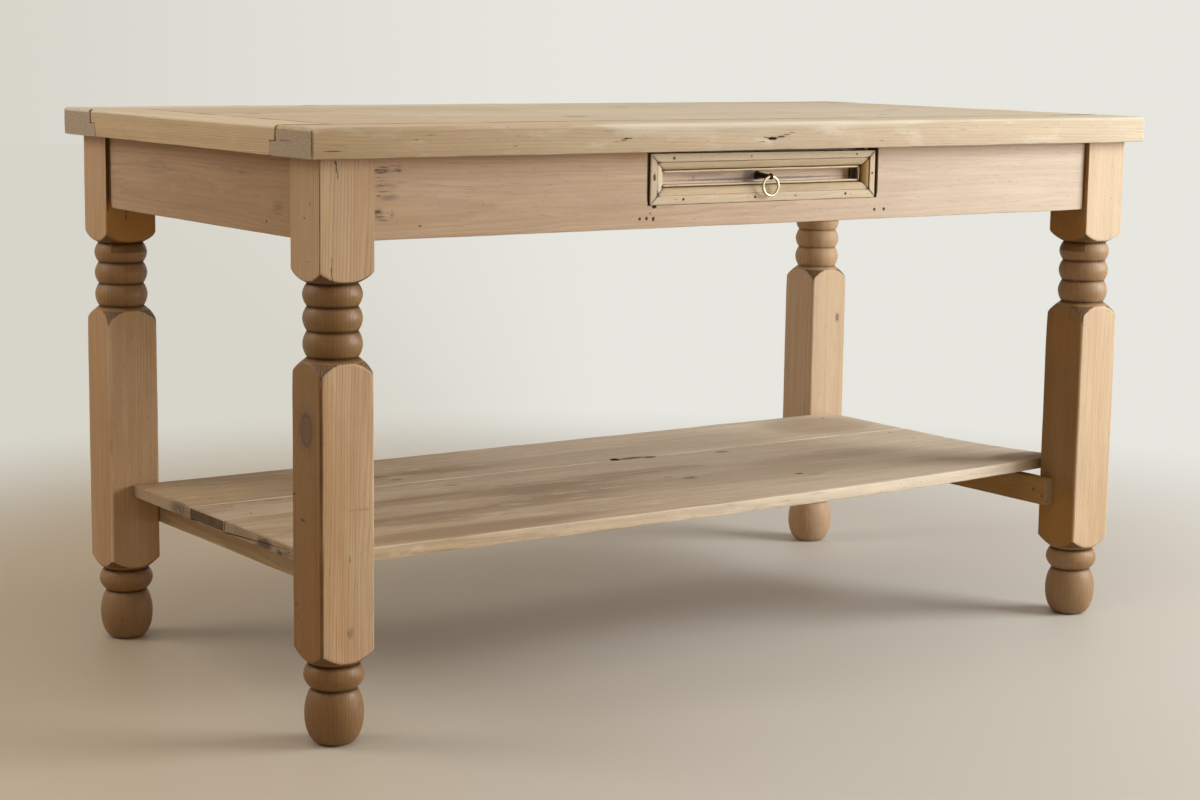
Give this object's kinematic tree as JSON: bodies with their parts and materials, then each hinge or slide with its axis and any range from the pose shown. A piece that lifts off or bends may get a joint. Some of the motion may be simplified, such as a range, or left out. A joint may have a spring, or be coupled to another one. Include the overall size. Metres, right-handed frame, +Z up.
{
  "type": "farmhouse table",
  "caption": "Rectangular farmhouse table in old pine with turned legs, a shallow front drawer with a ring pull, and a low storage shelf between the legs.",
  "frame": {"origin": "on the floor, below the middle of the tabletop", "axes": "+X along the table's length, -Y towards the drawer's side, +Z up"},
  "size_m": [1.4, 0.74, 0.762],
  "materials": {
    "pine_top": "worn, dry, waxed long ago",
    "pine_aprons": "worn, matt",
    "pine_legs": "worn, matt, fine upright grain",
    "pine_shelf": "weathered, matt",
    "pine_drawer_front": "worn moulding with dark grooves",
    "pine_inside": "bare sawn pine",
    "iron": "old dark nails and screws",
    "brass": "rubbed pale brass",
    "aged_brass": "darkened brass"
  },
  "bodies": {
    "table": {"apron_back": "pine_aprons", "apron_front": "pine_aprons", "apron_left": "pine_aprons", "apron_right": "pine_aprons", "cross_strip_1": "pine_top", "cross_strip_2": "pine_top", "cross_strip_3": "pine_top", "drawer_guide_left": "pine_inside", "drawer_guide_right": "pine_inside", "drawer_runner_left": "pine_inside", "drawer_runner_right": "pine_inside", "drawer_stops": "pine_inside", "infill_bay1_back": "pine_top", "infill_bay1_front": "pine_top", "infill_bay1_middle": "pine_top", "infill_bay2_back": "pine_top", "infill_bay2_front": "pine_top", "infill_bay2_middle": "pine_top", "infill_bay3_back": "pine_top", "infill_bay3_front": "pine_top", "infill_bay3_middle": "pine_top", "infill_bay4_back": "pine_top", "infill_bay4_front": "pine_top", "infill_bay4_middle": "pine_top", "leg_back_left": "pine_legs", "leg_back_right": "pine_legs", "leg_front_left": "pine_legs", "leg_front_right": "pine_legs", "runner_nails": "iron", "shelf_board_back": "pine_shelf", "shelf_board_front": "pine_shelf", "shelf_board_middle": "pine_shelf", "shelf_nails": "iron", "shelf_rail_left": "pine_shelf", "shelf_rail_nails": "iron", "shelf_rail_right": "pine_shelf", "top_bearer_1": "pine_inside", "top_bearer_2": "pine_inside", "top_bearer_3": "pine_inside", "top_board_back": "pine_top", "top_board_front": "pine_top", "top_button_screws": "iron", "top_buttons": "pine_inside", "top_end_rail_left": "pine_top", "top_end_rail_right": "pine_top"},
    "drawer": {"drawer_back": "pine_inside", "drawer_bottom": "pine_inside", "drawer_front": "pine_drawer_front", "drawer_moulding_bottom": "pine_drawer_front", "drawer_moulding_left": "pine_drawer_front", "drawer_moulding_right": "pine_drawer_front", "drawer_moulding_top": "pine_drawer_front", "drawer_nails": "iron", "drawer_side_left": "pine_inside", "drawer_side_right": "pine_inside", "moulding_brads": "iron", "pull_nut": "aged_brass", "pull_rosette": "aged_brass", "pull_stem": "aged_brass"},
    "ring": {"pull_ring": "brass"}
  },
  "joints": [
    {"name": "drawer_slide", "type": "slide", "parent": "table", "child": "drawer", "axis": [0, -1, 0], "range_m": [0, 0.3]},
    {"name": "ring_swing", "type": "hinge", "parent": "drawer", "child": "ring", "pos_m": [0.002, -0.35, 0.6879], "axis": [-1, 0, 0], "range_deg": [0, 170]}
  ]
}
